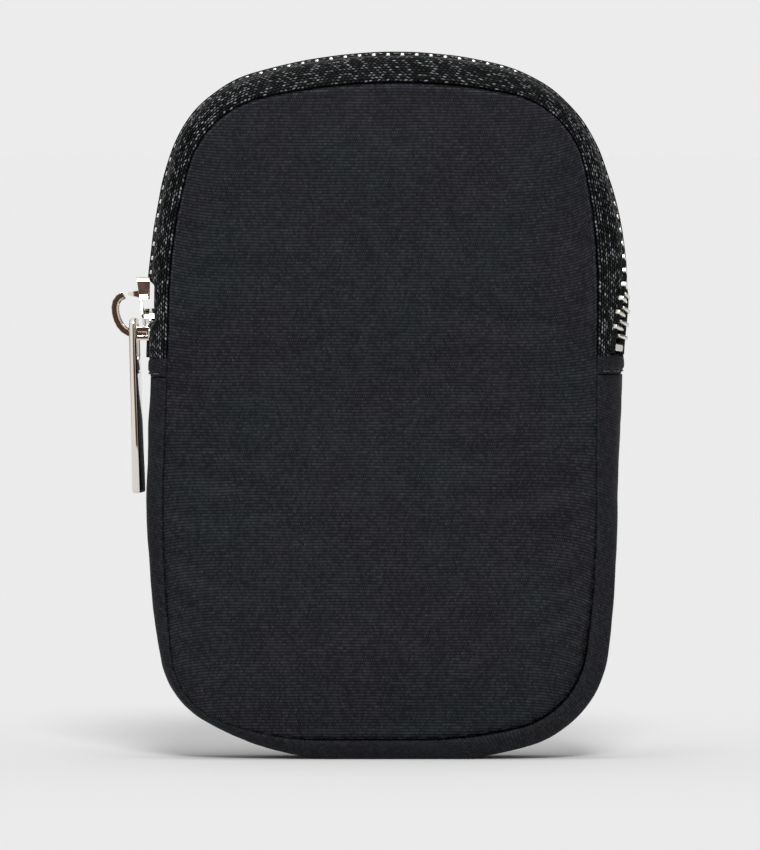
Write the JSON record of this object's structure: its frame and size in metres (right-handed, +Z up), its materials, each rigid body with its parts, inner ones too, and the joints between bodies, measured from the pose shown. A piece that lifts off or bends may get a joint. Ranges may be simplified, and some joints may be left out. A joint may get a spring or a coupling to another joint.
{
  "type": "zip pouch",
  "caption": "Small upright zip-around pouch of black ribbed nylon with a fabric gusset, metal zip over the top, slider with bail and bar puller, and a front that folds down.",
  "frame": {"origin": "on the flat underside of the gusset, midway between the front and back panels and under the middle of the pouch's width", "axes": "+Z up the pouch, +X to the right as seen from the front, front panel facing -Y"},
  "size_m": [0.0987, 0.028, 0.1339],
  "materials": {
    "ribbed_nylon": "fine horizontal rib, matte",
    "foam_padding": "closed-cell foam",
    "woven_lining": "plain weave",
    "zip_tape": "coarse knitted tape",
    "nickel_teeth": "nickel-plated",
    "polished_slider": "polished nickel"
  },
  "bodies": {
    "pouch": {"back_panel": "ribbed_nylon", "back_padding": "foam_padding", "back_lining": "woven_lining", "front_panel_lower": "ribbed_nylon", "front_padding_lower": "foam_padding", "front_lining_lower": "woven_lining", "gusset": "ribbed_nylon", "gusset_padding": "foam_padding", "gusset_lining": "woven_lining", "zip_tab_left": "ribbed_nylon", "zip_tab_right": "ribbed_nylon", "back_tape": "zip_tape", "front_tape_left": "zip_tape", "front_tape_right": "zip_tape", "back_teeth": "nickel_teeth", "front_teeth_left": "nickel_teeth", "front_teeth_right": "nickel_teeth", "top_stop_front": "nickel_teeth", "top_stop_back": "nickel_teeth", "bottom_stop": "nickel_teeth"},
    "front_flap": {"front_panel_flap": "ribbed_nylon", "front_padding_flap": "foam_padding", "front_lining_flap": "woven_lining", "front_tape_arch": "zip_tape", "front_teeth_arch": "nickel_teeth"},
    "slider": {"slider_body": "polished_slider", "slider_bail": "polished_slider"},
    "puller": {"puller_bar": "polished_slider"}
  },
  "joints": [
    {"name": "flap_fold", "type": "hinge", "parent": "pouch", "child": "front_flap", "pos_m": [0, -0.014, 0.0935], "axis": [1, 0, 0], "range_deg": [0, 100]},
    {"name": "slider_travel", "type": "hinge", "parent": "pouch", "child": "slider", "pos_m": [0.0664, 0, 0.084], "axis": [0, 1, 0], "range_deg": [0, 11.4], "deforming": ["back_teeth", "front_teeth_left", "front_teeth_arch"]},
    {"name": "puller_swing", "type": "hinge", "parent": "slider", "child": "puller", "pos_m": [-0.04711, 0, 0.08293], "axis": [0.1392, 0.9903, 0], "range_deg": [0, 150]}
  ]
}
